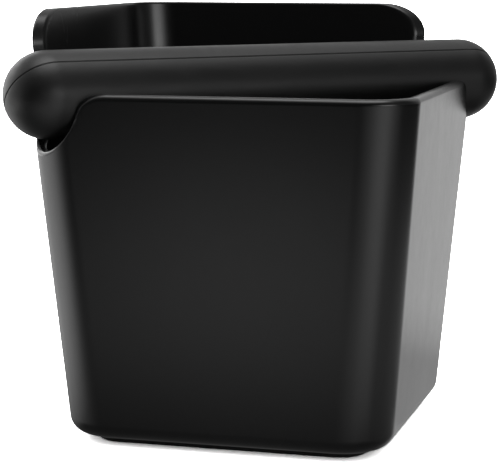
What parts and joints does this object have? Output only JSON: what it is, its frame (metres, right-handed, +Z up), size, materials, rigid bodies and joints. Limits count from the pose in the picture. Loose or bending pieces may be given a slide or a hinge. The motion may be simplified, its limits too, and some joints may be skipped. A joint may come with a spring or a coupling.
{
  "type": "espresso knock box",
  "caption": "Square tapered tub with tall back and left splash walls, a rubber-covered knock bar lying on the diagonal in two U notches, and a non-slip base pad.",
  "frame": {"origin": "centre of the tub's footprint, on the surface the base pad stands on", "axes": "+X to the right along the short front wall, +Y towards the tall back wall, +Z up; the knock bar runs from (-X, -Y) to (+X, +Y)"},
  "size_m": [0.1772, 0.1772, 0.1775],
  "materials": {
    "tub_plastic": "satin black moulded ABS with a very fine mould texture",
    "bar_rubber": "satin black moulded rubber with a parting line along its length and over the domed ends",
    "base_rubber": "matte black non-slip rubber",
    "core_steel": "plain turned steel, hidden inside the rubber"
  },
  "bodies": {
    "box": {"tub": "tub_plastic", "base_pad": "base_rubber"},
    "bar": {"bar_sleeve": "bar_rubber", "bar_core": "core_steel"}
  },
  "joints": [
    {"name": "bar_lift", "type": "slide", "parent": "box", "child": "bar", "axis": [0, 0, 1], "range_m": [0, 0.08]}
  ]
}
